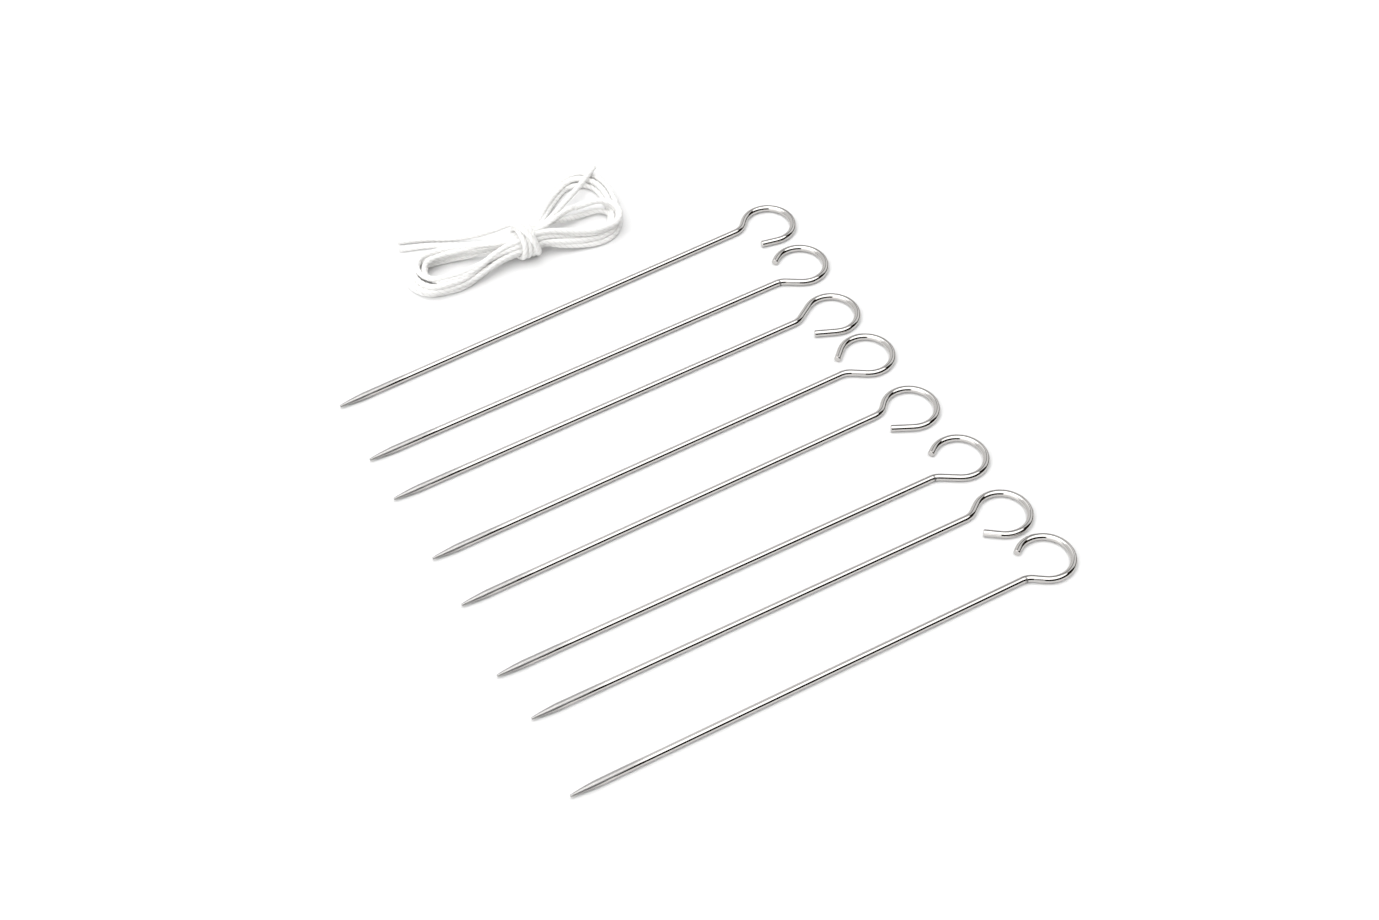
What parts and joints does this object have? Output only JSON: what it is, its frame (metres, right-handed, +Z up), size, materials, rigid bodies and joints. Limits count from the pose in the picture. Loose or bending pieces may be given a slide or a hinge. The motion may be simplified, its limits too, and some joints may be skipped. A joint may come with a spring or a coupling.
{
  "type": "poultry lacing pin set with twine",
  "caption": "Row of slender ring-headed wire lacing pins with ground points, and a tied hank of cotton twine for lacing between them.",
  "frame": {"origin": "on the surface the set lies on, under the middle of the row of pins", "axes": "+X along the shafts from the points to the rings, +Y across the row towards the twine, +Z up"},
  "size_m": [0.1221, 0.1582, 0.0081],
  "materials": {
    "plated_wire": "bright nickel-plated steel wire, satin where the point is ground",
    "cotton_twine": "soft plied cotton, undyed white",
    "tie_twine": "soft plied cotton, undyed white"
  },
  "bodies": {
    "twine": {"twine_hank": "cotton_twine", "tie_wrap": "tie_twine", "tie_long_end": "tie_twine", "tie_short_end": "tie_twine"},
    "pin_1": {"lacing_pin_1": "plated_wire"},
    "pin_2": {"lacing_pin_2": "plated_wire"},
    "pin_3": {"lacing_pin_3": "plated_wire"},
    "pin_4": {"lacing_pin_4": "plated_wire"},
    "pin_5": {"lacing_pin_5": "plated_wire"},
    "pin_6": {"lacing_pin_6": "plated_wire"},
    "pin_7": {"lacing_pin_7": "plated_wire"},
    "pin_8": {"lacing_pin_8": "plated_wire"}
  },
  "joints": [
    {"name": "pin_1_lift", "type": "slide", "parent": "twine", "child": "pin_1", "axis": [0, 0, 1], "range_m": [0, 0.04]},
    {"name": "pin_2_lift", "type": "slide", "parent": "twine", "child": "pin_2", "axis": [0, 0, 1], "range_m": [0, 0.04]},
    {"name": "pin_3_lift", "type": "slide", "parent": "twine", "child": "pin_3", "axis": [0, 0, 1], "range_m": [0, 0.04]},
    {"name": "pin_4_lift", "type": "slide", "parent": "twine", "child": "pin_4", "axis": [0, 0, 1], "range_m": [0, 0.04]},
    {"name": "pin_5_lift", "type": "slide", "parent": "twine", "child": "pin_5", "axis": [0, 0, 1], "range_m": [0, 0.04]},
    {"name": "pin_6_lift", "type": "slide", "parent": "twine", "child": "pin_6", "axis": [0, 0, 1], "range_m": [0, 0.04]},
    {"name": "pin_7_lift", "type": "slide", "parent": "twine", "child": "pin_7", "axis": [0, 0, 1], "range_m": [0, 0.04]},
    {"name": "pin_8_lift", "type": "slide", "parent": "twine", "child": "pin_8", "axis": [0, 0, 1], "range_m": [0, 0.04]}
  ]
}
